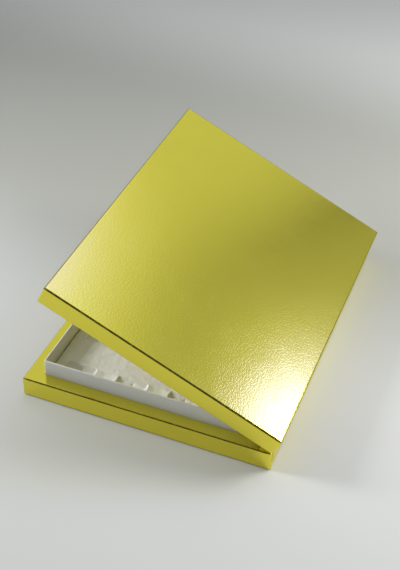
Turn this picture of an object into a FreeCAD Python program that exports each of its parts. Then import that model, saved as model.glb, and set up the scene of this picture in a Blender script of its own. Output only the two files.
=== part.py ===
import FreeCAD, Part
import math
import os
import re
import Sketcher
from FreeCAD import Placement, Rotation, Vector

os.makedirs("parts", exist_ok=True)
doc = FreeCAD.newDocument("chocolate_box")

# Driving sizes: mm, the lid angle in degrees, shares and counts without a unit.
size_table = [
    ("box_width", "180", "outside, from the opening side to the hinge side"),
    ("box_depth", "248", "outside, from front to rear"),
    ("base_height", "15", "from the table to the ledge"),
    ("lid_height", "14", "outside height of the lid"),
    ("lid_gap", "0.3", "seam between ledge and lid rim when shut"),
    ("lid_angle", "24", "opening of the lid at rest, degrees"),
    ("board_thick", "1.5", "greyboard"),
    ("wrap_thick", "0.25", "foil paper"),
    ("stay_thick", "0.15", "corner tape"),
    ("stay_clear", "0.1", "room between corner tape and wrap"),
    ("stay_leg", "12", "length of the tape on each wall"),
    ("fold_share", "1.8", "inner fold radius over the paste gap"),
    ("sheet_thick", "0.2", "paper under the bottom"),
    ("sheet_margin", "5", "from the outside to the underside sheet"),
    ("under_turn", "14", "wrap turned in under the bottom"),
    ("ledge_side", "11.7", "ledge width at the long sides"),
    ("ledge_end", "10.4", "ledge width at the short sides"),
    ("tray_thick", "1", "white board of the tray"),
    ("tray_clear", "0.3", "room between the tray and the ledge opening"),
    ("rim_clear", "0.5", "room between tray rim and lining when shut"),
    ("insert_thick", "0.7", "sheet of the pocket insert"),
    ("insert_clear", "0.4", "room between the insert and the tray walls"),
    ("insert_height", "11", "from the tray floor to the insert deck"),
    ("pocket_width", "22", "pocket opening across the box"),
    ("pocket_length", "15", "pocket opening along the box"),
    ("pocket_depth", "2", "how far a pocket is sunk into the deck"),
    ("pocket_draft", "1", "how far a pocket wall leans in on its way down"),
    ("pocket_margin", "2", "from the ends of the insert to its first and last pockets"),
    ("pocket_columns", "4", "pockets across the box"),
    ("pocket_rows", "6", "pockets along the box"),
    ("lining_thick", "0.2", "paper inside the lid"),
    ("lining_clear", "0.3", "room round the lining"),
    ("strip_thick", "0.3", "hinge strip, also the radius of its fold"),
    ("strip_inset", "2", "from the box ends to the hinge strip"),
    ("strip_leaf", "9", "height of each hinge leaf"),
    ("fold_clear", "0.1", "room between the fold and the upper leaf"),
    ("cut_overrun", "1", "length that a cut runs past its piece"),
]
sheet = doc.addObject("Spreadsheet::Sheet", "sizes")
for row, (name, value, note) in enumerate(size_table, start=1):
    sheet.set(f"A{row}", name)
    sheet.set(f"B{row}", value)
    sheet.set(f"C{row}", note)
    sheet.setAlias(f"B{row}", name)
doc.recompute()


def bound(formula):
    # Size names in a formula become cells of the sheet.
    return re.sub(r"[a-z]+_[a-z]+", lambda word: "sizes." + word.group(0), formula)


def value_of(formula):
    result = sheet.evalExpression(bound(formula))
    return float(getattr(result, "Value", result))


def drive(item, **formulas):
    # Two underscores in a key stand for the dot of a nested property.
    for key, formula in formulas.items():
        item.setExpression(key.replace("__", "."), bound(formula))


def new_sketch(body, x, y, z):
    # A level sketch in the body, moved by formulas.
    sketch = body.newObject("Sketcher::SketchObject", body.Name + "_sketch")
    level = [item for item in body.Origin.OriginFeatures if item.Role == "XY_Plane"][0]
    sketch.AttachmentSupport = (level, [""])
    sketch.MapMode = "FlatFace"
    drive(sketch, AttachmentOffset__Base__x=x, AttachmentOffset__Base__y=y)
    drive(sketch, AttachmentOffset__Base__z=z)
    return sketch


def rectangle(sketch, width, depth):
    # Four lines centred on the sketch origin, with driven width and depth.
    half_x = value_of(width) / 2
    half_y = value_of(depth) / 2
    signs = [(-1, -1), (1, -1), (1, 1), (-1, 1)]
    corners = [Vector(side * half_x, end * half_y) for side, end in signs]
    for k in range(4):
        sketch.addGeometry(Part.LineSegment(corners[k], corners[(k + 1) % 4]), False)
    for k in range(4):
        sketch.addConstraint(Sketcher.Constraint("Coincident", k, 2, (k + 1) % 4, 1))
    for k in (0, 2):
        sketch.addConstraint(Sketcher.Constraint("Horizontal", k))
    for k in (1, 3):
        sketch.addConstraint(Sketcher.Constraint("Vertical", k))
    sketch.addConstraint(Sketcher.Constraint("Symmetric", 0, 1, 1, 2, -1, 1))
    across = sketch.addConstraint(Sketcher.Constraint("DistanceX", 0, 1, 0, 2, 2 * half_x))
    along = sketch.addConstraint(Sketcher.Constraint("DistanceY", 1, 1, 1, 2, 2 * half_y))
    sketch.renameConstraint(across, "across")
    sketch.renameConstraint(along, "along")
    drive(sketch, Constraints__across=width, Constraints__along=depth)


def plate(name, width, depth, height, x="0", y="0", z="0"):
    # A rectangular panel; x and y give its centre and z its underside.
    body = doc.addObject("PartDesign::Body", name)
    sketch = new_sketch(body, x, y, z)
    rectangle(sketch, width, depth)
    pad = body.newObject("PartDesign::Pad", name + "_pad")
    pad.Profile = sketch
    drive(pad, Length=height)
    doc.recompute()
    return body


def round_all(body, radius):
    # Every edge of the panel becomes a fold of the paper.
    pad = body.Tip
    fold = body.newObject("PartDesign::Fillet", body.Name + "_fold")
    fold.Base = (pad, [f"Edge{k + 1}" for k in range(len(pad.Shape.Edges))])
    drive(fold, Radius=radius)
    doc.recompute()


def boolean(kind, name, base, tool):
    item = doc.addObject(kind, name)
    item.Base = base
    item.Tool = tool
    doc.recompute()
    return item


def repeat(body, feature, sketch, across, along):
    # The same feature in every column and row of the insert.
    pattern = body.newObject("PartDesign::LinearPattern", feature.Name + "_grid")
    pattern.Originals = [feature]
    pattern.Direction = (sketch, ["H_Axis"])
    pattern.Mode = "Spacing"
    pattern.Direction2 = (sketch, ["V_Axis"])
    pattern.Mode2 = "Spacing"
    drive(pattern, Offset=across, Offset2=along)
    drive(pattern, Occurrences="pocket_columns", Occurrences2="pocket_rows")
    body.Tip = pattern
    doc.recompute()


# Layers from the outside in: foil, paste gap with the corner tape, greyboard.
paste_gap = "(stay_thick + stay_clear)"
skin = f"(wrap_thick + {paste_gap})"
fold_inner = f"(fold_share * {paste_gap})"
fold_outer = f"(wrap_thick + {fold_inner})"
board_width = f"(box_width - 2 * {skin})"
board_depth = f"(box_depth - 2 * {skin})"
side_length = f"({board_depth} - 2 * board_thick)"
side_centre = f"({board_width} / 2 - board_thick / 2)"
end_centre = f"({board_depth} / 2 - board_thick / 2)"


def corner_stays(name, low, height):
    # One tape bent round the outer wall corner, then its mirror images.
    tape = doc.addObject("PartDesign::Body", name + "_tape")
    sketch = new_sketch(tape, "0", "0", low)
    edge_x = value_of(f"{board_width} / 2")
    edge_y = value_of(f"{board_depth} / 2")
    leg = value_of("stay_leg")
    thick = value_of("stay_thick")
    corner = Vector(edge_x, edge_y)
    before = [
        Vector(edge_x - leg, edge_y),
        corner,
        Vector(edge_x, edge_y - leg),
        Vector(edge_x + thick, edge_y - leg),
        Vector(edge_x + thick, edge_y),
    ]
    after = [
        Vector(edge_x, edge_y + thick),
        Vector(edge_x - leg, edge_y + thick),
        Vector(edge_x - leg, edge_y),
    ]
    for start, end in zip(before[:-1], before[1:]):
        sketch.addGeometry(Part.LineSegment(start, end), False)
    bend = Part.Circle(corner, Vector(0, 0, 1), thick)
    sketch.addGeometry(Part.ArcOfCircle(bend, 0, math.pi / 2), False)
    for start, end in zip(after[:-1], after[1:]):
        sketch.addGeometry(Part.LineSegment(start, end), False)
    count = sketch.GeometryCount
    for k in range(count):
        sketch.addConstraint(Sketcher.Constraint("Coincident", k, 2, (k + 1) % count, 1))
    for k in (0, 2, 5):
        sketch.addConstraint(Sketcher.Constraint("Horizontal", k))
    for k in (1, 3, 6):
        sketch.addConstraint(Sketcher.Constraint("Vertical", k))
    sketch.addConstraint(Sketcher.Constraint("Coincident", 4, 3, 1, 1))
    corner_x = Sketcher.Constraint("DistanceX", -1, 1, 0, 2, edge_x)
    corner_y = Sketcher.Constraint("DistanceY", -1, 1, 0, 2, edge_y)
    leg_x = Sketcher.Constraint("DistanceX", 0, 1, 0, 2, leg)
    leg_y = Sketcher.Constraint("DistanceY", 1, 2, 1, 1, leg)
    thick_x = Sketcher.Constraint("DistanceX", 2, 1, 2, 2, thick)
    names = ["corner_x", "corner_y", "leg_x", "leg_y", "thick_x"]
    for key, constraint in zip(names, [corner_x, corner_y, leg_x, leg_y, thick_x]):
        sketch.renameConstraint(sketch.addConstraint(constraint), key)
    drive(sketch, Constraints__corner_x=f"{board_width} / 2", Constraints__corner_y=f"{board_depth} / 2")
    drive(sketch, Constraints__leg_x="stay_leg", Constraints__leg_y="stay_leg")
    drive(sketch, Constraints__thick_x="stay_thick")
    pad = tape.newObject("PartDesign::Pad", name + "_pad")
    pad.Profile = sketch
    drive(pad, Length=height)
    doc.recompute()
    across = doc.addObject("Part::Mirroring", name + "_across")
    across.Source = tape
    across.Normal = Vector(1, 0, 0)
    pair = doc.addObject("Part::Compound", name + "_pair")
    pair.Links = [tape, across]
    along = doc.addObject("Part::Mirroring", name + "_along")
    along.Source = pair
    along.Normal = Vector(0, 1, 0)
    group = doc.addObject("Part::Compound", name)
    group.Links = [pair, along]
    doc.recompute()
    return group


def walls(start, low, height):
    # Front and rear walls run the full width, the side walls stand between them.
    front = plate(f"{start}_front_board", board_width, "board_thick", height, y=f"0 - {end_centre}", z=low)
    rear = plate(f"{start}_rear_board", board_width, "board_thick", height, y=end_centre, z=low)
    left = plate(f"{start}_left_board", "board_thick", side_length, height, x=f"0 - {side_centre}", z=low)
    hinge = plate(f"{start}_hinge_board", "board_thick", side_length, height, x=side_centre, z=low)
    stays = corner_stays(f"{start}_corner_stays", low, height)
    return [front, rear, left, hinge, stays]


# Greyboard of the base.
bottom_low = f"(sheet_thick + {skin})"
wall_low = f"({bottom_low} + board_thick)"
shoulder_low = f"(base_height - {skin} - board_thick)"
wall_height = f"({shoulder_low} - {wall_low})"
base_pieces = [plate("base_bottom_board", board_width, board_depth, "board_thick", z=bottom_low)]
base_pieces += walls("base", wall_low, wall_height)

# The shoulder is a frame: a panel with the opening that the tray stands in.
tray_width = "(box_width - 2 * ledge_side)"
tray_depth = "(box_depth - 2 * ledge_end)"
cutout_width = f"({tray_width} + 2 * tray_clear)"
cutout_depth = f"({tray_depth} + 2 * tray_clear)"
lip_width = f"({cutout_width} + 2 * wrap_thick)"
lip_depth = f"({cutout_depth} + 2 * wrap_thick)"
shoulder = plate("shoulder_board", board_width, board_depth, "board_thick", z=shoulder_low)
opening = new_sketch(shoulder, "0", "0", f"{shoulder_low} + board_thick")
rectangle(opening, lip_width, lip_depth)
opening_cut = shoulder.newObject("PartDesign::Pocket", "shoulder_opening")
opening_cut.Profile = opening
opening_cut.Type = "ThroughAll"
doc.recompute()
base_pieces.append(shoulder)

# Foil of the base: a folded shell, open over the tray and under the bottom.
base_skin = plate("base_skin", "box_width", "box_depth", "base_height - sheet_thick", z="sheet_thick")
round_all(base_skin, fold_outer)
room_width = "(box_width - 2 * wrap_thick)"
room_depth = "(box_depth - 2 * wrap_thick)"
base_room_height = "base_height - sheet_thick - 2 * wrap_thick"
base_room = plate("base_room", room_width, room_depth, base_room_height, z="sheet_thick + wrap_thick")
round_all(base_room, fold_inner)
lip_height = f"(base_height - wrap_thick / 2 - {shoulder_low})"
lip = plate("ledge_lip", lip_width, lip_depth, lip_height, z=shoulder_low)
hole_height = f"(base_height - {shoulder_low} + 2 * cut_overrun)"
tray_hole = plate("tray_hole", cutout_width, cutout_depth, hole_height, z=f"{shoulder_low} - cut_overrun")
under_width = "(box_width - 2 * under_turn)"
under_depth = "(box_depth - 2 * under_turn)"
under_height = "(wrap_thick + 2 * cut_overrun)"
under_hole = plate("under_hole", under_width, under_depth, under_height, z="sheet_thick - cut_overrun")
base_shell = boolean("Part::Cut", "base_shell", base_skin, base_room)
base_lipped = boolean("Part::Fuse", "base_lipped", base_shell, lip)
base_open = boolean("Part::Cut", "base_open", base_lipped, tray_hole)
base_pieces.append(boolean("Part::Cut", "base_wrap", base_open, under_hole))

# Paper over the turned-in foil; the box stands on it.
sheet_width = "(box_width - 2 * sheet_margin)"
sheet_depth = "(box_depth - 2 * sheet_margin)"
base_pieces.append(plate("underside_sheet", sheet_width, sheet_depth, "sheet_thick"))

# White tray, folded up from one board; its rim reaches into the shut lid.
lid_inner = f"(lid_height - {skin} - board_thick)"
tray_rise = f"({lid_inner} + lid_gap - lining_thick - rim_clear)"
tray_height = f"(base_height + {tray_rise} - {wall_low})"
inner_width = f"({tray_width} - 2 * tray_thick)"
inner_depth = f"({tray_depth} - 2 * tray_thick)"
tray = plate("inner_tray", tray_width, tray_depth, tray_height, z=wall_low)
inside = new_sketch(tray, "0", "0", f"{wall_low} + {tray_height}")
rectangle(inside, inner_width, inner_depth)
inside_cut = tray.newObject("PartDesign::Pocket", "tray_inside")
inside_cut.Profile = inside
drive(inside_cut, Length=f"{tray_height} - tray_thick")
doc.recompute()
base_pieces.append(tray)

# Moulded sheet: a deck with sunk pockets and a skirt that stands on the tray floor.
insert_width = f"({inner_width} - 2 * insert_clear)"
insert_depth = f"({inner_depth} - 2 * insert_clear)"
insert_low = f"({wall_low} + tray_thick)"
deck_top = f"({insert_low} + insert_height)"
deck_low = f"({deck_top} - insert_thick)"
column_pitch = f"({insert_width} / pocket_columns)"
row_pitch = f"(({insert_depth} - 2 * pocket_margin - pocket_length) / (pocket_rows - 1))"
first_x = f"({column_pitch} / 2 - {insert_width} / 2)"
first_y = f"(pocket_margin + pocket_length / 2 - {insert_depth} / 2)"
cup_growth = "(2 * insert_thick - 2 * insert_thick * pocket_draft / pocket_depth)"
inward_taper = "atan(pocket_draft / pocket_depth) * (0 - 1)"
insert = plate("pocket_insert", insert_width, insert_depth, "insert_height", z=insert_low)
hollow = new_sketch(insert, "0", "0", insert_low)
rectangle(hollow, f"{insert_width} - 2 * insert_thick", f"{insert_depth} - 2 * insert_thick")
hollow_cut = insert.newObject("PartDesign::Pocket", "insert_hollow")
hollow_cut.Profile = hollow
hollow_cut.Reversed = True
drive(hollow_cut, Length="insert_height - insert_thick")
doc.recompute()
cup = new_sketch(insert, first_x, first_y, deck_low)
rectangle(cup, f"pocket_width + {cup_growth}", f"pocket_length + {cup_growth}")
cup_pad = insert.newObject("PartDesign::Pad", "insert_cup")
cup_pad.Profile = cup
cup_pad.Reversed = True
drive(cup_pad, Length="pocket_depth", TaperAngle=inward_taper)
doc.recompute()
repeat(insert, cup_pad, cup, column_pitch, row_pitch)
pocket = new_sketch(insert, first_x, first_y, deck_top)
rectangle(pocket, "pocket_width", "pocket_length")
pocket_cut = insert.newObject("PartDesign::Pocket", "insert_pocket")
pocket_cut.Profile = pocket
drive(pocket_cut, Length="pocket_depth", TaperAngle=inward_taper)
doc.recompute()
repeat(insert, pocket_cut, pocket, column_pitch, row_pitch)
base_pieces.append(insert)

# Lower hinge leaf with the round fold on the hinge axis.
hinge_side = "(box_width / 2 + strip_thick)"
hinge_level = "(base_height + lid_gap / 2)"
leaf_centre = "(box_width / 2 + strip_thick / 2)"
strip_length = "(box_depth - 2 * strip_inset)"
leaf_low = f"({hinge_level} - strip_leaf)"
lower_leaf = plate("lower_leaf", "strip_thick", strip_length, "strip_leaf", x=leaf_centre, z=leaf_low)
fold = doc.addObject("Part::Cylinder", "hinge_fold")
fold.Placement = Placement(Vector(0, 0, 0), Rotation(Vector(1, 0, 0), math.degrees(math.pi / 2)))
drive(fold, Radius="strip_thick", Height=strip_length)
drive(fold, Placement__Base__x=hinge_side, Placement__Base__z=hinge_level)
drive(fold, Placement__Base__y=f"{strip_length} / 2")
base_pieces.append(boolean("Part::Fuse", "hinge_strip_base", lower_leaf, fold))

# Greyboard of the lid, modelled shut with the lid rim at zero height.
lid_wall = f"({lid_inner} - {skin})"
lid_pieces = [plate("lid_top_board", board_width, board_depth, "board_thick", z=lid_inner)]
lid_pieces += walls("lid", skin, lid_wall)

# Foil of the lid: a folded shell that also covers the inner faces of the walls.
turn_width = f"({board_width} - 2 * board_thick)"
turn_depth = f"({board_depth} - 2 * board_thick)"
hollow_width = f"({turn_width} - 2 * wrap_thick)"
hollow_depth = f"({turn_depth} - 2 * wrap_thick)"
hollow_height = f"({lid_inner} + cut_overrun)"
lid_skin = plate("lid_skin", "box_width", "box_depth", "lid_height")
round_all(lid_skin, fold_outer)
lid_room = plate("lid_room", room_width, room_depth, "lid_height - 2 * wrap_thick", z="wrap_thick")
round_all(lid_room, fold_inner)
turn_in = plate("turn_in", turn_width, turn_depth, lid_inner)
lid_hollow = plate("lid_hollow", hollow_width, hollow_depth, hollow_height, z="0 - cut_overrun")
lid_shell = boolean("Part::Cut", "lid_shell", lid_skin, lid_room)
lid_turned = boolean("Part::Fuse", "lid_turned", lid_shell, turn_in)
lid_pieces.append(boolean("Part::Cut", "lid_wrap", lid_turned, lid_hollow))

# Gold paper inside the lid top.
lining_width = f"({hollow_width} - 2 * lining_clear)"
lining_depth = f"({hollow_depth} - 2 * lining_clear)"
lining_low = f"({lid_inner} - lining_thick)"
lid_pieces.append(plate("lid_lining", lining_width, lining_depth, "lining_thick", z=lining_low))

# Upper hinge leaf, clear of the fold all the way round.
leaf_start = "(strip_thick + fold_clear - lid_gap / 2)"
upper_leaf = plate("hinge_strip_lid", "strip_thick", strip_length, "strip_leaf", x=leaf_centre, z=leaf_start)
lid_pieces.append(upper_leaf)

# The whole lid turns on the hinge axis to its angle at rest.
turned_x = f"{hinge_side} - {hinge_side} * cos(lid_angle) + lid_gap / 2 * sin(lid_angle)"
turned_z = f"{hinge_level} + {hinge_side} * sin(lid_angle) + lid_gap / 2 * cos(lid_angle)"
for piece in lid_pieces:
    piece.Placement = Placement(Vector(0, 0, 0), Rotation(Vector(0, 1, 0), value_of("lid_angle")))
    drive(piece, Placement__Base__x=turned_x, Placement__Base__z=turned_z)
    drive(piece, Placement__Rotation__Angle="lid_angle")
doc.recompute()

for item in doc.Objects:
    if "Invalid" in item.State or "Error" in item.State:
        raise RuntimeError(item.Name + " did not build")
for piece in base_pieces + lid_pieces:
    if piece.Shape.isNull() or not piece.Shape.isValid():
        raise RuntimeError(piece.Name + " has no valid shape")
for piece in base_pieces + lid_pieces:
    piece.Label = piece.Name
    piece.Shape.exportStep(f"parts/{piece.Label}.step")
    print(piece.Label, len(piece.Shape.Solids), round(piece.Shape.Volume, 1))
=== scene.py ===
import math

import bmesh
import bpy
import numpy as np
from mathutils import Matrix


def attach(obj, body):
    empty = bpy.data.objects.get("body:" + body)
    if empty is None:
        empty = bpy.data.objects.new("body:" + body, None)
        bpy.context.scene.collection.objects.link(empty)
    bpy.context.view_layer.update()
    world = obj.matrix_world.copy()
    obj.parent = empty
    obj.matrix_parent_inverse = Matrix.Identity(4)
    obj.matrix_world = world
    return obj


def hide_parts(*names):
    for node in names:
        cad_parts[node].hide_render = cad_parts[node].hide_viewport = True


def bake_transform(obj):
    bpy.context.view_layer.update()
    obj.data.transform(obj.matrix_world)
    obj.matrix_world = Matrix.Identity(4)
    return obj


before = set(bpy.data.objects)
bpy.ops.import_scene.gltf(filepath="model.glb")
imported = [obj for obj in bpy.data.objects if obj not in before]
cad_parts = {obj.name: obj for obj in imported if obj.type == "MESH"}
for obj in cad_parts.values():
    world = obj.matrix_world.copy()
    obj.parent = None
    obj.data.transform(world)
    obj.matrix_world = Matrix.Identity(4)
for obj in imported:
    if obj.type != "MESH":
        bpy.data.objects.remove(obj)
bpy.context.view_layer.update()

print("frame loaded with", len(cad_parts), "nodes")


# Even places along a side, as shares of its half length, without the two ends.
def evenPlaces(cells):
    return np.linspace(-1, 1, cells + 1)[1:-1]


# Points of a rounded rectangle, counter-clockwise from above: each is its side
# weight times the half sizes plus its corner weight times the corner radius.
def outlineWeights(alongX, alongY, arcSteps):
    turn = np.linspace(0, math.pi / 2, arcSteps + 1)
    sideParts, cornerParts = [], []
    for quarter, (signX, signY) in enumerate(((1, -1), (1, 1), (-1, 1), (-1, -1))):
        angle = turn + (quarter - 1) * math.pi / 2
        arcSide = np.tile((float(signX), float(signY)), (arcSteps + 1, 1))
        sideParts.append(arcSide)
        cornerParts.append(np.column_stack((np.cos(angle), np.sin(angle))) - arcSide)
        onSide = quarter % 2 == 0  # a run along Y follows this corner, otherwise one along X
        run = alongY * -signY if onSide else alongX * -signX
        still = np.zeros_like(run)
        if onSide:
            sideParts.append(np.column_stack((still + signX, run)))
            cornerParts.append(np.column_stack((still, -run)))
        else:
            sideParts.append(np.column_stack((run, still + signY)))
            cornerParts.append(np.column_stack((-run, still)))
    return np.concatenate(sideParts), np.concatenate(cornerParts)


# Carries a profile round the outline: ring k has its own half sizes, corner
# radius and height, and every ring has the same points along its sides.
def carryProfile(halfX, halfY, radius, height, weights):
    sideWeight, cornerWeight = weights
    x = np.outer(halfX, sideWeight[:, 0]) + np.outer(radius, cornerWeight[:, 0])
    y = np.outer(halfY, sideWeight[:, 1]) + np.outer(radius, cornerWeight[:, 1])
    z = np.repeat(np.asarray(height)[:, None], x.shape[1], axis=1)
    return np.stack((x, y, z), axis=-1)


# Rows of a profile: inset from the outer planes, height, fold value and share of the ledge.
def profileRows(inset, height, fold=0.0, ledge=0.0):
    return np.column_stack(np.broadcast_arrays(inset, height, fold, ledge))


# Four-sided faces between neighbouring rings; the last ring meets the first if looped.
def ringFaces(rings, around, looped=False):
    k, j = np.meshgrid(np.arange(rings if looped else rings - 1), np.arange(around), indexing="ij")
    nextK, nextJ = (k + 1) % rings, (j + 1) % around
    corners = (k * around + j, nextK * around + j, nextK * around + nextJ, k * around + nextJ)
    return np.stack(corners, axis=-1).reshape(-1, 4)


# A flat panel of even cells between plus and minus the half sizes, at one height.
def panelPoints(halfX, halfY, height, cellsX, cellsY):
    x, y = np.meshgrid(np.linspace(-halfX, halfX, cellsX + 1),
                       np.linspace(-halfY, halfY, cellsY + 1), indexing="ij")
    return np.stack((x, y, np.full_like(x, height)), axis=-1)


# Faces of a grid of (cellsX + 1) by (cellsY + 1) points, facing up or down.
def gridFaces(cellsX, cellsY, faceUp=True):
    i, j = np.meshgrid(np.arange(cellsX), np.arange(cellsY), indexing="ij")
    row = cellsY + 1
    corners = [i * row + j, (i + 1) * row + j, (i + 1) * row + j + 1, i * row + j + 1]
    return np.stack(corners if faceUp else corners[::-1], axis=-1).reshape(-1, 4)


# Joins several blocks of points and faces into one list of each.
def joinBlocks(blocks):
    points, faces, start = [], [], 0
    for blockPoints, blockFaces in blocks:
        flat = blockPoints.reshape(-1, 3)
        points.append(flat)
        faces.append(blockFaces + start)
        start += len(flat)
    return np.concatenate(points), np.concatenate(faces)


# A quarter of a circle as two runs: radius times the sine, and radius less its cosine.
def quarterRound(radius, steps):
    angle = np.linspace(0, math.pi / 2, steps + 1)
    return radius * np.sin(angle), radius * (1 - np.cos(angle))


# Fold value across a fold: half a sine wave, made taller by the rise and cut off at 1.
def foldCrest(steps, rise=1.6):
    return np.clip(rise * np.sin(np.linspace(0, math.pi, steps + 1)), 0, 1)


# A share from 0 to 1 that starts and ends softly: three squares less two cubes.
def softStep(share):
    return share * share * (3 - 2 * share)


# A gentle unevenness: the mean of a few long sine waves, each with its own heading.
def softWaves(x, y, waveLength, seed, waves=5):
    draw = np.random.default_rng(seed)
    total = np.zeros_like(x)
    for turn in draw.uniform(0, math.tau, waves):
        phase, stretch = draw.uniform(0, math.tau), draw.uniform(0.7, 1.5)
        run = x * math.cos(turn) + y * math.sin(turn)
        total += np.sin(run * math.tau * stretch / waveLength + phase)
    return total / waves


def makePiece(name, points, faces, material, body, nodes, foldValue=None, weld=2e-6):
    mesh = bpy.data.meshes.new(name)
    mesh.from_pydata(points.tolist(), [], faces.tolist())
    if foldValue is not None:
        attribute = mesh.attributes.new("foldValue", "FLOAT", "POINT")
        attribute.data.foreach_set("value", np.asarray(foldValue, dtype=np.float32))
    work = bmesh.new()
    work.from_mesh(mesh)
    bmesh.ops.remove_doubles(work, verts=work.verts, dist=weld)
    work.to_mesh(mesh)
    work.free()
    mesh.polygons.foreach_set("use_smooth", [True] * len(mesh.polygons))
    mesh.update()
    piece = bpy.data.objects.new(name, mesh)
    bpy.context.scene.collection.objects.link(piece)
    mesh.materials.append(material)
    if body:
        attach(piece, body)
    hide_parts(*nodes)
    print("made", name, "with", len(mesh.polygons), "faces")
    return piece


def newGroup(name, inputs, outputs):
    group = bpy.data.node_groups.new(name, "ShaderNodeTree")
    for label, default in inputs:
        socket = group.interface.new_socket(label, in_out="INPUT", socket_type="NodeSocketFloat")
        socket.default_value = default
    for label in outputs:
        group.interface.new_socket(label, in_out="OUTPUT", socket_type="NodeSocketFloat")
    return group, group.nodes.new("NodeGroupInput"), group.nodes.new("NodeGroupOutput")


def addNode(tree, kind, **settings):
    node = tree.nodes.new(kind)
    for key, value in settings.items():
        setattr(node, key, value)
    return node


# Links a socket to the target, or sets the target to a plain value.
def feed(tree, source, target):
    if hasattr(source, "is_output"):
        tree.links.new(source, target)
    else:
        target.default_value = source


def mathNode(tree, operation, first, second=0.0, clamp=False):
    node = addNode(tree, "ShaderNodeMath", operation=operation, use_clamp=clamp)
    feed(tree, first, node.inputs[0])
    feed(tree, second, node.inputs[1])
    return node.outputs[0]


def product(tree, first, second, clamp=False):
    return mathNode(tree, "MULTIPLY", first, second, clamp)


def rangeNode(tree, value, fromLow, fromHigh, toLow, toHigh, smooth=False):
    node = addNode(tree, "ShaderNodeMapRange", interpolation_type="SMOOTHSTEP" if smooth else "LINEAR")
    for index, entry in enumerate((value, fromLow, fromHigh, toLow, toHigh)):
        feed(tree, entry, node.inputs[index])
    return node.outputs[0]


def noiseNode(tree, vector, scale, detail=2.0, roughness=0.5):
    node = addNode(tree, "ShaderNodeTexNoise")
    feed(tree, vector, node.inputs["Vector"])
    feed(tree, scale, node.inputs["Scale"])
    node.inputs["Detail"].default_value = detail
    node.inputs["Roughness"].default_value = roughness
    return node


def stretchNode(tree, vector, scale):
    node = addNode(tree, "ShaderNodeMapping")
    feed(tree, vector, node.inputs["Vector"])
    node.inputs["Scale"].default_value = scale
    return node.outputs[0]


# A place pushed about by a noise: its colour less a half, times the reach.
def warpNode(tree, place, noise, reach):
    centred = addNode(tree, "ShaderNodeVectorMath", operation="SUBTRACT")
    feed(tree, noise.outputs["Color"], centred.inputs[0])
    centred.inputs[1].default_value = (0.5, 0.5, 0.5)
    pushed = addNode(tree, "ShaderNodeVectorMath", operation="SCALE")
    feed(tree, centred.outputs[0], pushed.inputs[0])
    feed(tree, reach, pushed.inputs["Scale"])
    moved = addNode(tree, "ShaderNodeVectorMath", operation="ADD")
    feed(tree, place, moved.inputs[0])
    feed(tree, pushed.outputs[0], moved.inputs[1])
    return moved.outputs[0]


def mixColour(tree, amount, first, second):
    node = addNode(tree, "ShaderNodeMix", data_type="RGBA")
    feed(tree, amount, node.inputs[0])
    feed(tree, first, node.inputs[6])
    feed(tree, second, node.inputs[7])
    return node.outputs[2]


def objectPlace(tree):
    return addNode(tree, "ShaderNodeTexCoord").outputs["Object"]


pressedGrain = {
    "bendsPerMetre": 45.0, "bendReach": 0.014,  # slow curves in the rows of cells
    "drawnOut": (1.0, 0.55, 1.0),  # below 1 makes the cells longer that way
    "swirlsPerMetre": 420.0,  # ragged outlines of the cells
    "edgeWidth": 0.20,  # sunk edge, as a share of a cell
    "creaseFineness": 1.7,  # creases to a cell
    "tonesPerMetre": 21.0,
}


# Leather-like grain pressed into foil: long bent cells with sunk edges, and fine creases on them.
def makeGrainGroup(look):
    group, entry, leave = newGroup(
        "pressedGrain",
        (("Cells per metre", 400.0), ("Warp", 0.0016), ("Crease share", 0.35)),
        ("Height", "Tone"))
    place = objectPlace(group)
    curves = noiseNode(group, place, look["bendsPerMetre"], detail=1.0)
    bent = warpNode(group, place, curves, look["bendReach"])
    drawn = stretchNode(group, bent, look["drawnOut"])
    swirl = noiseNode(group, place, look["swirlsPerMetre"], detail=1.0)
    moved = warpNode(group, drawn, swirl, entry.outputs["Warp"])
    cells = addNode(group, "ShaderNodeTexVoronoi", feature="DISTANCE_TO_EDGE")
    feed(group, moved, cells.inputs["Vector"])
    feed(group, entry.outputs["Cells per metre"], cells.inputs["Scale"])
    pebble = rangeNode(group, cells.outputs["Distance"], 0.0, look["edgeWidth"], 0.0, 1.0, smooth=True)
    finer = product(group, entry.outputs["Cells per metre"], look["creaseFineness"])
    crease = noiseNode(group, moved, finer)
    creased = product(group, crease.outputs["Fac"], entry.outputs["Crease share"])
    feed(group, mathNode(group, "ADD", pebble, creased), leave.inputs["Height"])
    slow = noiseNode(group, place, look["tonesPerMetre"], detail=3.0)
    feed(group, slow.outputs["Fac"], leave.inputs["Tone"])
    return group


paperFibre = {
    "drawnOut": (1.0, 0.35, 1.0), "cloudsPerMetre": 38.0,
    "speckFineness": 0.6, "speckSoftness": 0.07,  # below 1 makes the specks coarser than the fibres
}


# Fibres of board and paper: long faint specks and a slow cloudiness.
def makeFibreGroup(look):
    group, entry, leave = newGroup(
        "paperFibre", (("Fibres per metre", 900.0), ("Speck", 0.62)), ("Height", "Tone", "Speck"))
    place = objectPlace(group)
    drawn = stretchNode(group, place, look["drawnOut"])
    fibre = noiseNode(group, drawn, entry.outputs["Fibres per metre"], detail=4.0, roughness=0.65)
    feed(group, fibre.outputs["Fac"], leave.inputs["Height"])
    cloud = noiseNode(group, place, look["cloudsPerMetre"], detail=3.0)
    feed(group, cloud.outputs["Fac"], leave.inputs["Tone"])
    finer = product(group, entry.outputs["Fibres per metre"], look["speckFineness"])
    dots = noiseNode(group, drawn, finer)
    full = mathNode(group, "ADD", entry.outputs["Speck"], look["speckSoftness"])
    speck = rangeNode(group, dots.outputs["Fac"], entry.outputs["Speck"], full, 0.0, 1.0, smooth=True)
    feed(group, speck, leave.inputs["Speck"])
    return group


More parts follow.
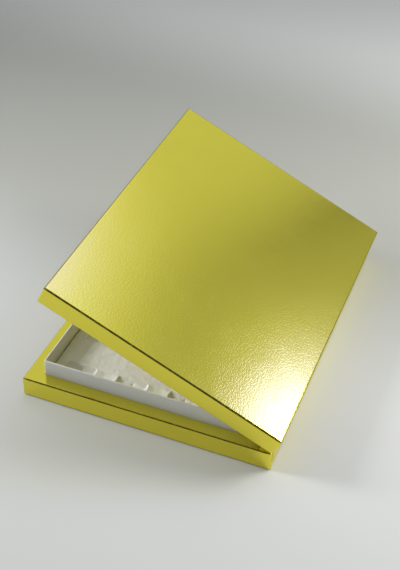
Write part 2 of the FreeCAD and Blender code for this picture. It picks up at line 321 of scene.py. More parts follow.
wornAndShadedFold = {"patchesPerMetre": 420.0, "patchRange": (0.25, 0.55), "markRange": (0.55, 1.0)}


# Marks on the folds: the piece's own fold value, broken up a little by small patches. On the gold foil this
# is painted shade, a dark reflection and contact shadow along the folds; on the white card it is edge wear.
def makeWearAndShadeGroup(look):
    group, entry, leave = newGroup("wornAndShadedFold", (("Fold", 0.0), ("Amount", 0.5)), ("WearAndShade",))
    patches = noiseNode(group, objectPlace(group), look["patchesPerMetre"], detail=4.0, roughness=0.7)
    patchy = rangeNode(group, patches.outputs["Fac"], *look["patchRange"], *look["markRange"], smooth=True)
    worn = product(group, patchy, entry.outputs["Fold"])
    feed(group, product(group, worn, entry.outputs["Amount"], clamp=True), leave.inputs["WearAndShade"])
    return group


grainGroup = makeGrainGroup(pressedGrain)
fibreGroup = makeFibreGroup(paperFibre)
wearAndShadeGroup = makeWearAndShadeGroup(wornAndShadedFold)


def newMaterial(name, fixed):
    material = bpy.data.materials.new(name)
    material.use_nodes = True
    tree = material.node_tree
    shader = tree.nodes["Principled BSDF"]
    for label, value in fixed.items():
        shader.inputs[label].default_value = value
    return material, tree, shader


# Places a group; an underscore in a value's name stands for a space in the socket's.
def placeGroup(tree, group, **values):
    node = addNode(tree, "ShaderNodeGroup", node_tree=group)
    for label, value in values.items():
        feed(tree, value, node.inputs[label.replace("_", " ")])
    return node


# Wear and painted shade on the piece's folds, from the fold value that its mesh carries.
def foldWearAndShade(tree, amount):
    fold = addNode(tree, "ShaderNodeAttribute", attribute_name="foldValue")
    return placeGroup(tree, wearAndShadeGroup, Fold=fold.outputs["Fac"], Amount=amount).outputs["WearAndShade"]


def addBump(tree, shader, height, depth):
    bump = addNode(tree, "ShaderNodeBump")
    bump.inputs["Strength"].default_value = 1.0
    bump.inputs["Distance"].default_value = depth
    feed(tree, height, bump.inputs["Height"])
    feed(tree, bump.outputs["Normal"], shader.inputs["Normal"])


goldFoil = {
    "colour": (0.87, 0.778, 0.094, 1.0), "deepColour": (0.82, 0.726, 0.086, 1.0),
    # the fold colour is painted shade: a near-black dark reflection painted along the foil's top folds, and
    # a contact shadow along the base's lower fold
    "foldShadeColour": (0.12, 0.09, 0.02, 1.0), "wearAndShade": 0.95, "wornRough": 0.12,
    "rough": (0.105, 0.12), "toneRange": (0.25, 0.75), "grainDepth": 0.0000066, "cells": 500.0,
}
goldLining = dict(goldFoil, wearAndShade=0.0, rough=(0.29, 0.36), grainDepth=0.000006, cells=900.0)


def makeGoldPaper(name, look):
    material, tree, shader = newMaterial(name, {"Metallic": 1.0})
    grain = placeGroup(tree, grainGroup, Cells_per_metre=look["cells"])
    wearAndShade = foldWearAndShade(tree, look["wearAndShade"])
    body = mixColour(tree, grain.outputs["Tone"], look["deepColour"], look["colour"])
    # painted shade: the fold value mixes in the fold colour, a painted dark reflection and contact shadow
    # along the folds
    feed(tree, mixColour(tree, wearAndShade, body, look["foldShadeColour"]), shader.inputs["Base Color"])
    rough = rangeNode(tree, grain.outputs["Tone"], *look["toneRange"], *look["rough"])
    worn = mathNode(tree, "ADD", rough, product(tree, wearAndShade, look["wornRough"]))
    feed(tree, worn, shader.inputs["Roughness"])
    addBump(tree, shader, grain.outputs["Height"], look["grainDepth"])
    return material


whiteCard = {
    "colour": (0.77, 0.78, 0.765, 1.0), "coolColour": (0.73, 0.745, 0.745, 1.0),
    "edgeColour": (0.74, 0.71, 0.64, 1.0), "wearAndShade": 0.5,
    "rough": (0.38, 0.48), "toneRange": (0.3, 0.7), "fibres": 1100.0, "speck": 0.66, "depth": 0.00003,
}


def makeWhiteCard(name, look):
    material, tree, shader = newMaterial(name, {"Specular IOR Level": 0.45})
    fibre = placeGroup(tree, fibreGroup, Fibres_per_metre=look["fibres"], Speck=look["speck"])
    wearAndShade = foldWearAndShade(tree, look["wearAndShade"])
    body = mixColour(tree, fibre.outputs["Tone"], look["coolColour"], look["colour"])
    feed(tree, mixColour(tree, wearAndShade, body, look["edgeColour"]), shader.inputs["Base Color"])
    rough = rangeNode(tree, fibre.outputs["Tone"], *look["toneRange"], *look["rough"])
    feed(tree, rough, shader.inputs["Roughness"])
    addBump(tree, shader, fibre.outputs["Height"], look["depth"])
    return material


whiteMoulding = {
    "colour": (0.86, 0.855, 0.83, 1.0), "shadeColour": (0.81, 0.80, 0.77, 1.0),
    "rough": (0.34, 0.44), "toneRange": (0.3, 0.7), "cloudsPerMetre": 60.0,
    "peelPerMetre": 230.0, "peelShare": 0.12, "creasesPerMetre": 75.0, "depth": 0.0018,
}


def makeWhiteMoulding(name, look):
    material, tree, shader = newMaterial(name, {
        "IOR": 1.5, "Subsurface Weight": 0.2,
        "Subsurface Radius": (1.0, 0.95, 0.8), "Subsurface Scale": 0.004})
    place = objectPlace(tree)
    cloud = noiseNode(tree, place, look["cloudsPerMetre"], detail=3.0).outputs["Fac"]
    peel = noiseNode(tree, place, look["peelPerMetre"], detail=3.0, roughness=0.6).outputs["Fac"]
    slow = noiseNode(tree, place, look["creasesPerMetre"], roughness=0.6).outputs["Fac"]
    # the thin sheet is creased where the slow noise crosses its middle value
    crinkle = mathNode(tree, "ABSOLUTE", mathNode(tree, "SUBTRACT", slow, 0.5))
    height = mathNode(tree, "ADD", product(tree, peel, look["peelShare"]), crinkle)
    feed(tree, mixColour(tree, cloud, look["shadeColour"], look["colour"]), shader.inputs["Base Color"])
    feed(tree, rangeNode(tree, cloud, *look["toneRange"], *look["rough"]), shader.inputs["Roughness"])
    addBump(tree, shader, height, look["depth"])
    return material


papers = {
    "undersidePaper": {"colour": (0.77, 0.76, 0.73), "fleck": (0.64, 0.61, 0.56, 1.0), "rough": (0.7, 0.85),
                       "fibres": 800.0, "speck": 0.62, "depth": 0.00006},
    "greyBoard": {"colour": (0.40, 0.385, 0.36), "fleck": (0.22, 0.21, 0.20, 1.0), "rough": (0.8, 0.92),
                  "fibres": 600.0, "speck": 0.58, "depth": 0.00010},
    "cornerTape": {"colour": (0.62, 0.52, 0.36), "fleck": (0.50, 0.40, 0.26, 1.0), "rough": (0.5, 0.62),
                   "fibres": 1200.0, "speck": 0.60, "depth": 0.00005},
}
paperTones = {"shade": 0.94, "toneRange": (0.3, 0.7)}


def makePaper(name, look):
    material, tree, shader = newMaterial(name, {"Specular IOR Level": 0.3})
    fibre = placeGroup(tree, fibreGroup, Fibres_per_metre=look["fibres"], Speck=look["speck"])
    shade = tuple(paperTones["shade"] * channel for channel in look["colour"]) + (1.0,)
    body = mixColour(tree, fibre.outputs["Tone"], shade, look["colour"] + (1.0,))
    feed(tree, mixColour(tree, fibre.outputs["Speck"], body, look["fleck"]), shader.inputs["Base Color"])
    rough = rangeNode(tree, fibre.outputs["Tone"], *paperTones["toneRange"], *look["rough"])
    feed(tree, rough, shader.inputs["Roughness"])
    addBump(tree, shader, fibre.outputs["Height"], look["depth"])
    return material


materials = {
    "goldFoil": makeGoldPaper("goldFoil", goldFoil),
    "goldLining": makeGoldPaper("goldLining", goldLining),
    "whiteCard": makeWhiteCard("whiteCard", whiteCard),
    "whiteMoulding": makeWhiteMoulding("whiteMoulding", whiteMoulding),
}
materials.update({name: makePaper(name, look) for name, look in papers.items()})
print("finishes made:", ", ".join(materials))


# sizes that several pieces share, in metres
box = {
    "halfX": 0.090, "halfY": 0.124,
    "hingeX": 0.0903, "hingeZ": 0.01515, "openAngle": math.radians(24.0), "rimLift": 0.00015,
    "foldSteps": 8, "foldGap": 0.0002, "cornerRadius": 0.0009, "cornerReach": 0.002,
}


# Turns points of the shut lid, whose rim is at height 0, about the hinge to the open pose.
def openLid(points):
    x = points[..., 0] - box["hingeX"]
    z = points[..., 2] + box["rimLift"]
    cosine, sine = math.cos(box["openAngle"]), math.sin(box["openAngle"])
    return np.stack((box["hingeX"] + x * cosine + z * sine, points[..., 1],
                     box["hingeZ"] - x * sine + z * cosine), axis=-1)


# How strongly a fold's painted shade shows: fully along the short sides, and by the given share
# along the long ones and at the corners. The shade is a dark reflection painted along the folds.
def foldShadeShare(rings, longSide):
    gapX = box["halfX"] - abs(rings[..., 0])
    gapY = box["halfY"] - abs(rings[..., 1])
    share = np.where(gapX < gapY, longSide, 1.0)
    return np.where(np.maximum(gapX, gapY) < box["cornerReach"], longSide, share)


def pieceOutline(sizes):
    return outlineWeights(evenPlaces(sizes["cellsX"]), evenPlaces(sizes["cellsY"]), sizes["arcSteps"])


lidFoil = {
    "height": 0.014, "wall": 0.00225, "closeAt": 0.0119,
    "fold": 0.0012, "rimFold": 0.0006, "rimGap": 0.0001, "innerFold": 0.0004, "innerCorner": 0.0003,
    # the rim and long-side values weaken the painted shade, a dark reflection painted along the folds
    "rimFoldShade": 0.2, "longFoldShade": 0.5,
    "margin": 0.004, "waveDepth": 0.00002, "waveLength": 0.14, "waveEase": 0.02, "waveSeed": 11,
    "cellsX": 72, "cellsY": 98, "arcSteps": 8,
}


# Foil round the lid: a profile over the top fold, down the wall, round the rim and up inside is
# carried round the outline; a faintly wavy panel closes it on top and a flat one inside.
def makeLidFoil(sizes):
    steps, gap = box["foldSteps"], box["foldGap"]
    top, wall, fold = sizes["height"], sizes["wall"], sizes["fold"]
    rimFold, innerFold, rimFoldShade = sizes["rimFold"], sizes["innerFold"], sizes["rimFoldShade"]
    cells = (sizes["cellsX"], sizes["cellsY"])
    along, drop = quarterRound(fold, steps)
    rimAlong, rimDrop = quarterRound(rimFold, steps)
    innerAlong, innerDrop = quarterRound(innerFold, steps)
    crest = foldCrest(steps)
    profile = np.concatenate((
        profileRows([sizes["margin"], fold + gap], top),  # edge of the flat top
        profileRows(fold - along, top - drop, crest),  # top fold
        profileRows(0.0, [top - fold - gap, rimFold + gap]),  # outer wall
        profileRows(rimDrop, rimFold - rimAlong, crest * rimFoldShade),  # fold at the rim
        profileRows(wall - innerFold - sizes["rimGap"], 0.0),  # rim
        profileRows(wall - innerFold + innerAlong, innerDrop, crest * rimFoldShade),  # inner fold
        profileRows(wall, [innerFold + gap, sizes["closeAt"]])))  # inner wall
    inset, height, bend, _ = profile.T
    inside = inset > wall - innerFold - sizes["rimGap"] * 2  # from the rim's edge on inwards
    radius = np.where(inside, sizes["innerCorner"], np.maximum(box["cornerRadius"] - inset, 0.0))
    radius[0] = radius[-1] = 0.0
    rings = carryProfile(box["halfX"] - inset, box["halfY"] - inset, radius, height, pieceOutline(sizes))
    halfX, halfY = box["halfX"] - inset[0], box["halfY"] - inset[0]
    topPanel = panelPoints(halfX, halfY, top, *cells)
    x, y = topPanel[..., 0], topPanel[..., 1]
    # the waves only sink the panel, and fade out towards its edges
    ease = (softStep(np.clip((halfX - abs(x)) / sizes["waveEase"], 0, 1))
            * softStep(np.clip((halfY - abs(y)) / sizes["waveEase"], 0, 1)))
    waves = softWaves(x, y, sizes["waveLength"], sizes["waveSeed"])
    topPanel[..., 2] += ease * sizes["waveDepth"] * (waves - 1) / 2
    under = panelPoints(box["halfX"] - wall, box["halfY"] - wall, sizes["closeAt"], *cells)
    points, faces = joinBlocks((
        (topPanel, gridFaces(*cells)),
        (rings, ringFaces(len(inset), rings.shape[1])),
        (under, gridFaces(*cells, faceUp=False))))
    # painted shade: the fold value darkens the foil along its folds as a painted dark reflection
    creased = bend[:, None] * foldShadeShare(rings, sizes["longFoldShade"])
    foldValue = np.concatenate((np.zeros(topPanel.size // 3), creased.ravel(), np.zeros(under.size // 3)))
    return makePiece("lidFoil", openLid(points), faces, materials["goldFoil"], "lid",
                     ("lid_wrap",), foldValue)


makeLidFoil(lidFoil)


baseFoil = {
    "top": 0.015, "under": 0.0002, "innerFloor": 0.0006, "turnIn": 0.014, "turnGap": 0.0003,
    "ledgeX": 0.0114, "ledgeY": 0.0101, "ledgeShares": (1.0, 0.6, 0.3, 0.0),
    "lipFold": 0.0006, "lipCorner": 0.0004, "fold": 0.0009, "lowFold": 0.0007,
    # the fold values paint shade: a dark reflection along the ledge's top fold and a contact shadow along
    # the lower fold
    "lowFoldShade": 0.7, "longFoldShade": 0.1,
    "cellsX": 60, "cellsY": 84, "arcSteps": 8,
}


# Foil round the base: a closed profile up the lip of the opening, over the ledge, down the wall
# and in under the bottom is carried round the outline.
def makeBaseFoil(sizes):
    steps, gap = box["foldSteps"], box["foldGap"]
    top, under, turnIn, innerFloor = sizes["top"], sizes["under"], sizes["turnIn"], sizes["innerFloor"]
    lipFold, fold, lowFold = sizes["lipFold"], sizes["fold"], sizes["lowFold"]
    lipAlong, lipDrop = quarterRound(lipFold, steps)
    along, drop = quarterRound(fold, steps)
    lowAlong, lowDrop = quarterRound(lowFold, steps)
    crest = foldCrest(steps)
    profile = np.concatenate((
        profileRows(0.0, [innerFloor, top - lipFold - gap], ledge=1.0),  # lip of the opening
        profileRows(-lipDrop, top - lipFold + lipAlong, ledge=1.0),  # fold at the lip
        profileRows([-lipFold - gap, 0.0, 0.0, fold + gap], top, ledge=sizes["ledgeShares"]),  # ledge
        profileRows(fold - along, top - drop, crest),  # top fold
        profileRows(0.0, [top - fold - gap, under + lowFold + gap]),  # outer wall
        profileRows(lowDrop, under + lowFold - lowAlong, crest * sizes["lowFoldShade"]),  # lower fold
        profileRows([lowFold + sizes["turnGap"], turnIn], under),  # turned in under the bottom
        profileRows(turnIn, [under + gap, innerFloor])))  # inner edge
    inset, height, bend, ledge = profile.T
    radius = np.where(ledge == 1, sizes["lipCorner"], np.maximum(box["cornerRadius"] - inset, 0.0))
    radius[(ledge > 0) & (ledge < 1)] = 0.0
    halfX = box["halfX"] - inset - ledge * sizes["ledgeX"]
    halfY = box["halfY"] - inset - ledge * sizes["ledgeY"]
    rings = carryProfile(halfX, halfY, radius, height, pieceOutline(sizes))
    faces = ringFaces(len(height), rings.shape[1], looped=True)
    # painted shade: the fold value darkens the foil along its folds
    foldValue = (bend[:, None] * foldShadeShare(rings, sizes["longFoldShade"])).ravel()
    return makePiece("baseFoil", rings.reshape(-1, 3), faces, materials["goldFoil"], "base",
                     ("base_wrap",), foldValue)


makeBaseFoil(baseFoil)


hingeStrip = {
    "halfLength": 0.122, "leaf": 0.009, "lidLeaf": 0.0094, "thick": 0.0003,
    "bendRun": 0.0012,  # half the length of the bend
    # crease sets the painted shade along the bend, a dark reflection painted on the foil there
    "crease": 0.4, "cellsY": 60, "leafPoints": 16, "bendPoints": 13,
}


# Strip over the hinge: its lean grows evenly along the bend, and sums of sine and cosine of
# the lean give its line, which is made as thick as the strip and drawn along the hinge.
def makeHingeStrip(sizes):
    angle, leaf, bendRun = box["openAngle"], sizes["leaf"], sizes["bendRun"]
    # distance along the strip: below the hinge is negative, above it follows the lid
    run = np.concatenate((np.linspace(-leaf, -bendRun, sizes["leafPoints"]),
                          np.linspace(-bendRun, bendRun, sizes["bendPoints"])[1:-1],
                          np.linspace(bendRun, sizes["lidLeaf"], sizes["leafPoints"])))
    lean = angle * np.clip((run + bendRun) / (2 * bendRun), 0, 1)
    step = np.diff(run)
    middle = (lean[1:] + lean[:-1]) / 2
    x = np.concatenate(([0.0], np.cumsum(step * np.sin(middle))))
    z = np.concatenate(([0.0], np.cumsum(step * np.cos(middle)))) - leaf
    # the upper leaf lies exactly on the lid's wall
    upper = run >= bendRun
    outerX = box["hingeX"] + np.where(upper, run * math.sin(angle), x)
    outerZ = box["hingeZ"] + np.where(upper, run * math.cos(angle), z)
    innerX = outerX - sizes["thick"] * np.cos(lean)
    innerZ = outerZ + sizes["thick"] * np.sin(lean)
    loopX = np.concatenate((outerX, innerX[::-1]))
    loopZ = np.concatenate((outerZ, innerZ[::-1]))
    y = np.linspace(-sizes["halfLength"], sizes["halfLength"], sizes["cellsY"] + 1)
    drawnOut = np.broadcast_arrays(loopX[None, :], y[:, None], loopZ[None, :])
    points = np.stack(drawnOut, axis=-1).reshape(-1, 3)
    around, half = len(loopX), len(outerX)
    i = np.arange(half - 1)
    cap = np.stack((i, i + 1, around - 2 - i, around - 1 - i), axis=-1)
    faces = np.concatenate((ringFaces(len(y), around), cap, cap[:, ::-1] + (len(y) - 1) * around))
    # painted shade: the bend gets a fold value that darkens the foil as a painted dark reflection
    bend = np.concatenate((abs(run) < bendRun, np.zeros(half))) * sizes["crease"]
    piece = makePiece("hingeStrip", points, faces, materials["goldFoil"], None,
                      ("hinge_strip_base", "hinge_strip_lid"), np.tile(bend, len(y)))
    work = bmesh.new()
    work.from_mesh(piece.data)
    bmesh.ops.recalc_face_normals(work, faces=work.faces)
    work.to_mesh(piece.data)
    work.free()
    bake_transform(piece)
    return piece


makeHingeStrip(hingeStrip)


innerTray = {
    "halfX": 0.0783, "halfY": 0.1136, "low": 0.0022, "top": 0.0266, "wall": 0.001, "floor": 0.001,
    "rimRound": 0.0003, "rimSteps": 5, "corner": 0.0010, "innerCorner": 0.0004,
    "innerFoot": 0.0003, "outerFoot": 0.0004, "footRun": 0.0012, "underRun": 0.002,
    "wallShares": (0.15, 0.3375, 0.525, 0.7125, 0.9),
    "bow": 0.00025, "bowFrom": 0.016, "bowBeyond": 0.07,
    "cellsX": 40, "cellsY": 56, "arcSteps": 8,
}


# White card tray: a profile up the inner wall, over the round rim and down the outer wall is
# carried round the outline, and two flat panels close it above and below the floor.
def makeInnerTray(sizes):
    rimRound, wall, top, low = sizes["rimRound"], sizes["wall"], sizes["top"], sizes["low"]
    innerFoot, outerFoot, footRun = sizes["innerFoot"], sizes["outerFoot"], sizes["footRun"]
    inner = low + sizes["floor"]
    cells = (sizes["cellsX"], sizes["cellsY"])
    shares = np.array(sizes["wallShares"])
    along, drop = quarterRound(rimRound, sizes["rimSteps"])
    profile = np.concatenate((
        profileRows([wall + footRun, wall + innerFoot], inner),  # edge of the floor
        profileRows(wall, [inner + innerFoot, inner + footRun]),  # inner foot
        profileRows(wall, inner + shares * (top - inner)),  # inner wall
        profileRows(wall - drop, top - rimRound + along),  # rim, inner half
        profileRows(wall / 2, top),
        profileRows(rimRound - along, top - drop),  # rim, outer half
        profileRows(0.0, top - rimRound - shares * (top - low)),  # outer wall
        profileRows(0.0, [low + footRun, low + outerFoot]),  # outer foot
        profileRows([outerFoot, sizes["underRun"]], low)))  # edge of the underside
    inset, height = profile[:, 0], profile[:, 1]
    radius = np.where(inset > wall / 2, sizes["innerCorner"], np.maximum(sizes["corner"] - inset, 0.0))
    radius[0] = radius[-1] = 0.0
    bend = np.where(height > top - rimRound * 1.1, 1.0, 0.0)  # only the rim's own rows
    halfX, halfY = sizes["halfX"] - inset, sizes["halfY"] - inset
    rings = carryProfile(halfX, halfY, radius, height, pieceOutline(sizes))
    # the long walls bow a hair inwards half-way along, more towards the rim
    x, y, z = rings[..., 0], rings[..., 1], rings[..., 2]
    lift = np.clip((z - sizes["bowFrom"]) / (top - sizes["bowFrom"]), 0, 1)
    side = 1 - np.clip(abs(y) / sizes["halfY"], 0, 1) ** 2
    rings[..., 0] -= np.sign(x) * sizes["bow"] * lift * side * (abs(x) > sizes["bowBeyond"])
    floorUp = panelPoints(halfX[0], halfY[0], inner, *cells)
    floorDown = panelPoints(halfX[-1], halfY[-1], low, *cells)
    points, faces = joinBlocks((
        (floorUp, gridFaces(*cells)),
        (rings, ringFaces(len(inset), rings.shape[1])),
        (floorDown, gridFaces(*cells, faceUp=False))))
    foldValue = np.concatenate((np.zeros(floorUp.size // 3), np.repeat(bend, rings.shape[1]),
                                np.zeros(floorDown.size // 3)))
    return makePiece("innerTray", points, faces, materials["whiteCard"], "base",
                     ("inner_tray",), foldValue)


makeInnerTray(innerTray)


pocketInsert = {
    "halfX": 0.0769, "halfY": 0.1122, "deck": 0.0142, "floor": 0.0122, "foot": 0.0032, "sheet": 0.0006,
    "columns": 4, "rows": 6, "pitchX": 0.03845, "pitchY": 0.04108,
    "pocketX": 0.011, "pocketY": 0.0075, "pocketCorner": 0.0018, "wallRun": 0.0015, "softness": 0.0012,
    "creaseHalf": 0.0010, "creaseDepth": 0.0009, "creaseFade": 0.001,
    "beadHeight": 0.0004, "beadAt": 0.0006, "beadWidth": 0.0005,
    "edgeRound": 0.0012, "edgeSteps": 6, "arcSteps": 5,
    "skirtCorner": 0.0016, "skirtGap": 0.0003, "skirtRings": 3,
    # grid lines in thousandths of a metre: out from a pocket's edge, and out from its middle
    "wallLines": (-2.0, -1.6, -1.3, -1.05, -0.8, -0.55, -0.3, -0.05, 0.2, 0.5, 0.9, 1.5),
    "creaseLines": (0.3, 0.55, 0.8, 1.2), "lineGap": 0.0002,
}


# Grid lines along one side, close together at the pocket walls and at the crease down the middle.
def pocketLines(sizes, pitch, count, pocketHalf, half):
    offsets = np.concatenate((np.array(sizes["creaseLines"]) / 1000, [pocketHalf / 2],
                              pocketHalf + np.array(sizes["wallLines"]) / 1000))
    centres = (np.arange(count) - (count - 1) / 2) * pitch
    single = np.concatenate((-offsets[::-1], [0.0], offsets))
    lines = np.concatenate(((centres[:, None] + single).ravel(), (centres[1:] + centres[:-1]) / 2))
    within = lines[abs(lines) < half - sizes["lineGap"]]
    return np.concatenate(([-half], np.unique(np.round(within, 6)), [half]))


# Distance along one side from the middle of the nearest pocket.
def fromPocket(place, pitch, count):
    return abs((place + count * pitch / 2) % pitch - pitch / 2)


# The lower of two heights, rounded over where they meet.
def softLower(first, second, reach):
    share = np.clip(0.5 + 0.5 * (second - first) / reach, 0, 1)
    return second * (1 - share) + first * share - reach * share * (1 - share)


# Moulded insert: the deck's height follows the distance outside the nearest pocket, as a sloping
# wall rounded at both ends, with a crease in each pocket and a bead round it, and a skirt at the edge.
def makePocketInsert(sizes):
    bend, deck, floor, corner = sizes["edgeRound"], sizes["deck"], sizes["floor"], sizes["pocketCorner"]
    lineX = pocketLines(sizes, sizes["pitchX"], sizes["columns"], sizes["pocketX"], sizes["halfX"] - bend)
    lineY = pocketLines(sizes, sizes["pitchY"], sizes["rows"], sizes["pocketY"], sizes["halfY"] - bend)
    x, y = np.meshgrid(lineX, lineY, indexing="ij")
    nearX = fromPocket(x, sizes["pitchX"], sizes["columns"])
    nearY = fromPocket(y, sizes["pitchY"], sizes["rows"])
    overX = nearX - (sizes["pocketX"] - corner)
    overY = nearY - (sizes["pocketY"] - corner)
    outside = (np.hypot(np.maximum(overX, 0), np.maximum(overY, 0))
               + np.minimum(np.maximum(overX, overY), 0) - corner)
    wall = deck + outside * (deck - floor) / sizes["wallRun"]
    z = softLower(wall, np.full_like(x, deck), sizes["softness"])
    z = -softLower(-z, np.full_like(x, -floor), sizes["softness"])
    z = np.clip(z, floor, deck)
    # the crease runs down the middle of a pocket and fades out at its ends
    narrow = np.clip(1 - nearX / sizes["creaseHalf"], 0, 1)
    ends = np.clip(-(outside + sizes["wallRun"]) / sizes["creaseFade"], 0, 1)
    z -= sizes["creaseDepth"] * narrow * ends
    z += sizes["beadHeight"] * np.exp(-((outside - sizes["beadAt"]) / sizes["beadWidth"]) ** 2)
    # the deck's edge turns down into a skirt that stands on the tray's floor
    along, drop = quarterRound(bend, sizes["edgeSteps"])
    inset = np.concatenate((bend - along, np.zeros(sizes["skirtRings"])))
    skirtTop = deck - bend - sizes["skirtGap"]
    height = np.concatenate((deck - drop, np.linspace(skirtTop, sizes["foot"], sizes["skirtRings"])))
    radius = sizes["skirtCorner"] * np.sqrt(np.linspace(0, 1, len(inset)))
    weights = outlineWeights(lineX[1:-1] / lineX[-1], lineY[1:-1] / lineY[-1], sizes["arcSteps"])
    skirt = carryProfile(sizes["halfX"] - inset, sizes["halfY"] - inset, radius, height, weights)
    points, faces = joinBlocks((
        (np.stack((x, y, z), axis=-1), gridFaces(len(lineX) - 1, len(lineY) - 1)),
        (skirt, ringFaces(len(inset), skirt.shape[1]))))
    piece = makePiece("pocketInsert", points, faces, materials["whiteMoulding"], "base",
                      ("pocket_insert",))
    thicken = piece.modifiers.new("sheetThickness", "SOLIDIFY")
    thicken.thickness = sizes["sheet"]
    thicken.offset = -1.0
    return piece


makePocketInsert(pocketInsert)


# pieces that keep their CAD shape and take a finish; all others of them are grey board
carriedOver = {"lid_lining": "goldLining", "underside_sheet": "undersidePaper",
               "base_corner_stays": "cornerTape", "lid_corner_stays": "cornerTape"}
for name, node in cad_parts.items():
    finish = materials[carriedOver.get(name, "greyBoard")]
    if not node.data.materials:
        node.data.materials.append(None)
    for index in range(len(node.data.materials)):
        node.data.materials[index] = finish
print("carried-over pieces finished")


floorPaper = {
    "half": 4.0, "cells": 8, "cloudsPerMetre": 5.0,
    "colour": (0.64, 0.64, 0.605, 1.0), "shade": (0.61, 0.61, 0.575, 1.0),
    # the back colour is painted shade, a darker band on the paper behind the box
    "backShadeColour": (0.41, 0.41, 0.365, 1.0), "backFrom": (-0.05, 0.14), "backUntil": (0.30, 0.50),
}


def makeFloor(look):
    material, tree, shader = newMaterial("floorPaper", {"Roughness": 0.9, "Specular IOR Level": 0.0})
    place = objectPlace(tree)
    cloud = noiseNode(tree, place, look["cloudsPerMetre"], detail=3.0)
    plain = mixColour(tree, cloud.outputs["Fac"], look["shade"], look["colour"])
    split = addNode(tree, "ShaderNodeSeparateXYZ")
    feed(tree, place, split.inputs[0])
    # painted shade: the paper is darker in a wide soft band behind the box, standing in for the light
    # falling off there
    rise = rangeNode(tree, split.outputs["Y"], *look["backFrom"], 0.0, 1.0, smooth=True)
    fade = rangeNode(tree, split.outputs["Y"], *look["backUntil"], 1.0, 0.0, smooth=True)
    tone = mixColour(tree, product(tree, rise, fade), plain, look["backShadeColour"])
    feed(tree, tone, shader.inputs["Base Color"])
    half, cells = look["half"], look["cells"]
    mesh = bpy.data.meshes.new("floorPaper")
    points = panelPoints(half, half, 0.0, cells, cells)
    mesh.from_pydata(points.reshape(-1, 3).tolist(), [], gridFaces(cells, cells).tolist())
    mesh.materials.append(material)
    floor = bpy.data.objects.new("floorPaper", mesh)
    bpy.context.scene.collection.objects.link(floor)


# angles are in degrees, azimuths clockwise from the rear as seen from above;
# wallTop, horizon and overhead are sines of the elevation
studioRoom = {
    "backAzimuth": 15.0, "backEdge": (-0.1, 0.45), "wallTop": (0.76, 0.90),
    "backLeft": 0.63, "backRight": 0.40, "backTurn": (-0.012, 0.126),
    "horizon": (0.02, 0.22), "lowTone": 0.38,
    "overhead": (0.45, 0.85), "frontTone": 0.22, "overTone": 0.32,
    "green": 1.04, "brightest": 10.0,
    "upright": {"azimuth": 21.1, "halfWidth": 1.5, "depth": 0.22,
                "top": (30.0, 40.0), "backEdge": (0.0, 0.3)},
    "glows": (
        {"azimuth": 3.7, "elevation": 58.0, "reach": 21.8, "fall": 1.2, "strength": 1.17, "blue": 1.17,
         "brightest": 1.09},
        {"azimuth": 12.0, "elevation": 46.4, "reach": 9.9, "fall": 6.0, "strength": 0.0, "blue": 9.5},
        {"azimuth": 30.9, "elevation": 35.9, "reach": 9.6, "fall": 1.4, "strength": 0.05, "blue": 0.05},
        {"azimuth": 30.0, "elevation": 35.6, "reach": 6.0, "fall": 3.0, "strength": 0.44, "blue": 0.45},
        {"azimuth": 30.6, "elevation": 35.6, "reach": 2.5, "fall": 0.5, "strength": 0.45, "blue": 6.0},
        {"azimuth": 32.2, "elevation": 36.5, "reach": 2.6, "fall": 0.5, "strength": 1.50, "blue": 15.0},
    ),
}


# The cosine of the angle between a direction and a heading, as their dot product.
def towards(tree, direction, azimuth, elevation=0.0):
    turn, rise = math.radians(azimuth), math.radians(elevation)
    node = addNode(tree, "ShaderNodeVectorMath", operation="DOT_PRODUCT")
    feed(tree, direction, node.inputs[0])
    level = math.cos(rise)
    node.inputs[1].default_value = (math.sin(turn) * level, math.cos(turn) * level, math.sin(rise))
    return node.outputs["Value"]


def sineOf(degrees):
    return math.sin(math.radians(degrees))


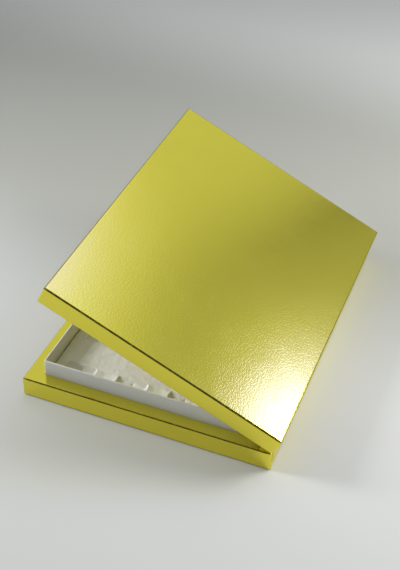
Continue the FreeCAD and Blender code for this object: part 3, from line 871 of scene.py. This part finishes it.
# The room: a paler back wall, dim in front and overhead, pale along the horizon, with soft glows.
def makeWorld(look):
    world = bpy.data.worlds.new("studioRoom")
    world.use_nodes = True
    tree = world.node_tree
    direction = addNode(tree, "ShaderNodeTexCoord").outputs["Generated"]
    split = addNode(tree, "ShaderNodeSeparateXYZ")
    feed(tree, direction, split.inputs[0])
    level = split.outputs["Z"]
    facing = towards(tree, direction, look["backAzimuth"])
    aside = towards(tree, direction, look["backAzimuth"] + 90.0)
    back = rangeNode(tree, facing, *look["backEdge"], 0.0, 1.0, smooth=True)
    below = rangeNode(tree, level, *look["wallTop"], 1.0, 0.0, smooth=True)
    low = rangeNode(tree, level, *look["horizon"], 1.0, 0.0, smooth=True)
    high = rangeNode(tree, level, *look["overhead"], look["frontTone"], look["overTone"], smooth=True)
    base = rangeNode(tree, low, 0.0, 1.0, high, look["lowTone"])
    backTone = rangeNode(tree, aside, *look["backTurn"], look["backLeft"], look["backRight"], smooth=True)
    paler = product(tree, product(tree, back, below), mathNode(tree, "SUBTRACT", backTone, base))
    tone = mathNode(tree, "ADD", base, paler)
    # a dim upright in the room, which the lid mirrors as a soft dark band
    upright = look["upright"]
    distance = mathNode(tree, "ABSOLUTE", towards(tree, direction, upright["azimuth"] + 90.0))
    halfWidth = sineOf(upright["halfWidth"])
    narrow = rangeNode(tree, distance, 0.0, halfWidth, upright["depth"], 0.0, smooth=True)
    under = rangeNode(tree, level, *map(sineOf, upright["top"]), 1.0, 0.0, smooth=True)
    atBack = rangeNode(tree, facing, *upright["backEdge"], 0.0, 1.0)
    tone = mathNode(tree, "SUBTRACT", tone, product(tree, product(tree, narrow, under), atBack))
    blue = tone
    for glow in look["glows"]:
        cosine = towards(tree, direction, glow["azimuth"], glow["elevation"])
        near = rangeNode(tree, cosine, math.cos(math.radians(glow["reach"])), 1.0, 0.0, 1.0)
        shine = mathNode(tree, "POWER", near, glow["fall"])
        raised = mathNode(tree, "ADD", tone, product(tree, shine, glow["strength"]))
        tone = mathNode(tree, "MINIMUM", raised, glow.get("brightest", look["brightest"]))
        blue = mathNode(tree, "ADD", blue, product(tree, shine, glow["blue"]))
    combine = addNode(tree, "ShaderNodeCombineColor")
    for index, amount in enumerate((tone, product(tree, tone, look["green"]), blue)):
        feed(tree, amount, combine.inputs[index])
    background = tree.nodes["Background"]
    feed(tree, combine.outputs[0], background.inputs["Color"])
    background.inputs["Strength"].default_value = 1.0
    bpy.context.scene.world = world


# A turn and a place in one: three unit directions and a point as the columns.
def placeMatrix(right, up, back, place):
    return Matrix([list(row) for row in zip(right, up, back, place)] + [[0, 0, 0, 1]])


lamps = {
    "leftBox": {"place": (-0.78, -0.20, 0.415), "aim": (-0.06, -0.05, 0.0), "size": 0.30, "watts": 1.6,
                "spread": 90.0, "tint": (0.98, 0.99, 1.0), "mirrored": False},
    "rightBox": {"place": (0.55, 0.27, 0.42), "aim": (0.18, -0.04, 0.0), "size": 0.30, "watts": 2.3,
                 "spread": 150.0, "tint": (1.0, 1.0, 0.99), "mirrored": True},
    "backBox": {"place": (0.40, 0.48, 0.44), "aim": (0.16, -0.10, 0.0), "size": 0.36, "watts": 1.1,
                "spread": 180.0, "tint": (1.0, 1.0, 0.99), "mirrored": False},
}


# A square soft lamp at its place, facing its aim.
def makeLamp(name, look):
    back = np.array(look["place"]) - np.array(look["aim"])
    back /= np.linalg.norm(back)
    right = np.cross((0.0, 0.0, 1.0), back)
    right /= np.linalg.norm(right)
    data = bpy.data.lights.new(name, "AREA")
    data.shape = "SQUARE"
    data.size = look["size"]
    data.spread = math.radians(look["spread"])
    data.energy = look["watts"]
    data.color = look["tint"]
    lamp = bpy.data.objects.new(name, data)
    lamp.visible_glossy = look["mirrored"]
    bpy.context.scene.collection.objects.link(lamp)
    lamp.matrix_world = placeMatrix(right, np.cross(back, right), back, look["place"])


view = {
    "place": (0.20881, -0.60705, 0.55034), "right": (0.931303, 0.36261, 0.034489),
    "up": (-0.252579, 0.574665, 0.778437), "back": (0.262449, -0.733672, 0.626775),
    "lens": 70.886, "sensor": 36.0, "clipStart": 0.01,
}


def makeCamera(look):
    data = bpy.data.cameras.new("photoCamera")
    data.lens = look["lens"]
    data.sensor_width = look["sensor"]
    data.clip_start = look["clipStart"]
    camera = bpy.data.objects.new("photoCamera", data)
    bpy.context.scene.collection.objects.link(camera)
    camera.matrix_world = placeMatrix(look["right"], look["up"], look["back"], look["place"])
    bpy.context.scene.camera = camera


makeFloor(floorPaper)
makeWorld(studioRoom)
for lampName, lampLook in lamps.items():
    makeLamp(lampName, lampLook)
makeCamera(view)
bpy.context.scene.view_settings.view_transform = "Standard"
print("stage set")
